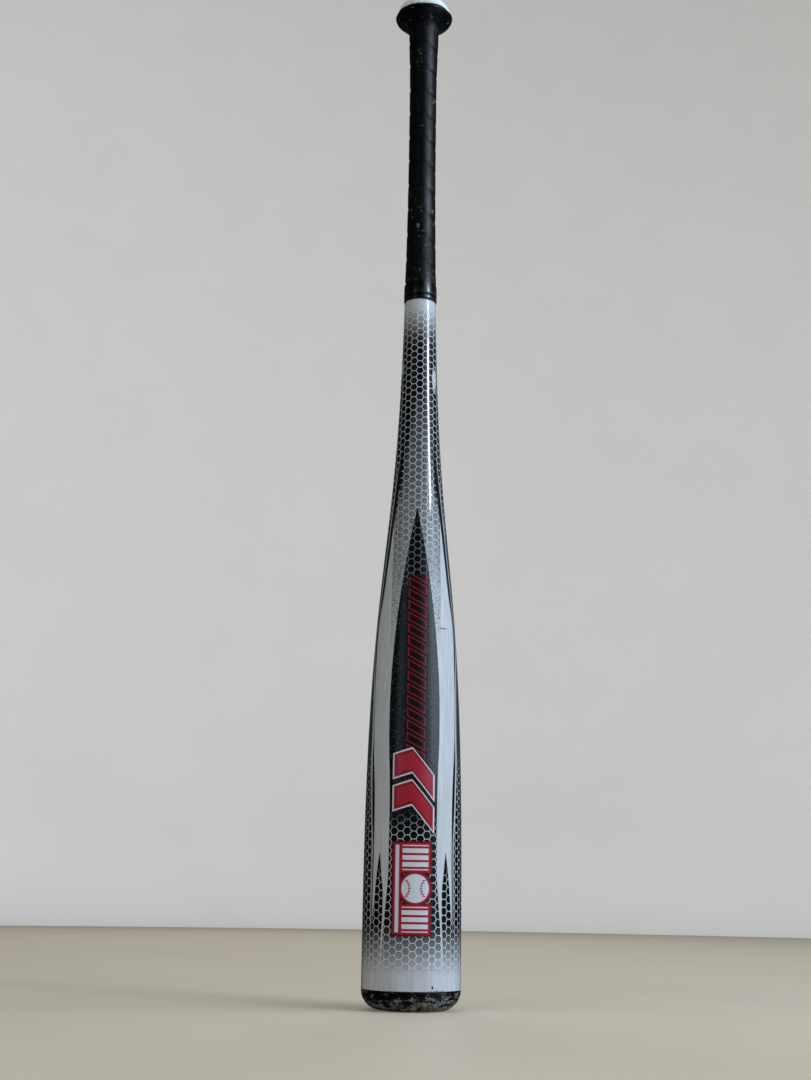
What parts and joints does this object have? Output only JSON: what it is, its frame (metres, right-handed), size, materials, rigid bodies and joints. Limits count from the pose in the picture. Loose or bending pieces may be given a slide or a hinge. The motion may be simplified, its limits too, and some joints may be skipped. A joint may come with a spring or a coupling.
{
  "type": "baseball bat",
  "caption": "Rubber-ball baseball bat with a smooth painted composite barrel, a rounded black end cap, a wound black grip and a pale knob, standing on its end cap.",
  "frame": {"origin": "centre of the end cap's flat face, on the surface that the bat stands on", "axes": "+Z along the bat from the end cap to the knob; the front of the graphics faces -Y"},
  "size_m": [0.069, 0.069, 0.78],
  "materials": {
    "shell_paint": "gloss",
    "glass_fibre": "satin",
    "carbon_fibre": "satin",
    "elastomer": "matte",
    "foam": "matte",
    "cap_plastic": "satin",
    "trim_rubber": "matte",
    "plug_plastic": "matte",
    "knob_plastic": "satin",
    "grip_tape": "matte",
    "collar_vinyl": "gloss"
  },
  "bodies": {
    "root": {"barrel_shell": "shell_paint", "outer_wall_sleeve": "glass_fibre", "inner_wall_sleeve": "carbon_fibre", "sleeve_ring_cap_end": "elastomer", "sleeve_ring_taper_end": "elastomer", "taper_foam_plug": "foam", "end_cap": "cap_plastic", "cap_trim_weight": "trim_rubber", "cap_foam_disc": "foam", "handle_plug": "plug_plastic", "knob": "knob_plastic", "grip_tape": "grip_tape", "grip_collar": "collar_vinyl"}
  },
  "joints": []
}
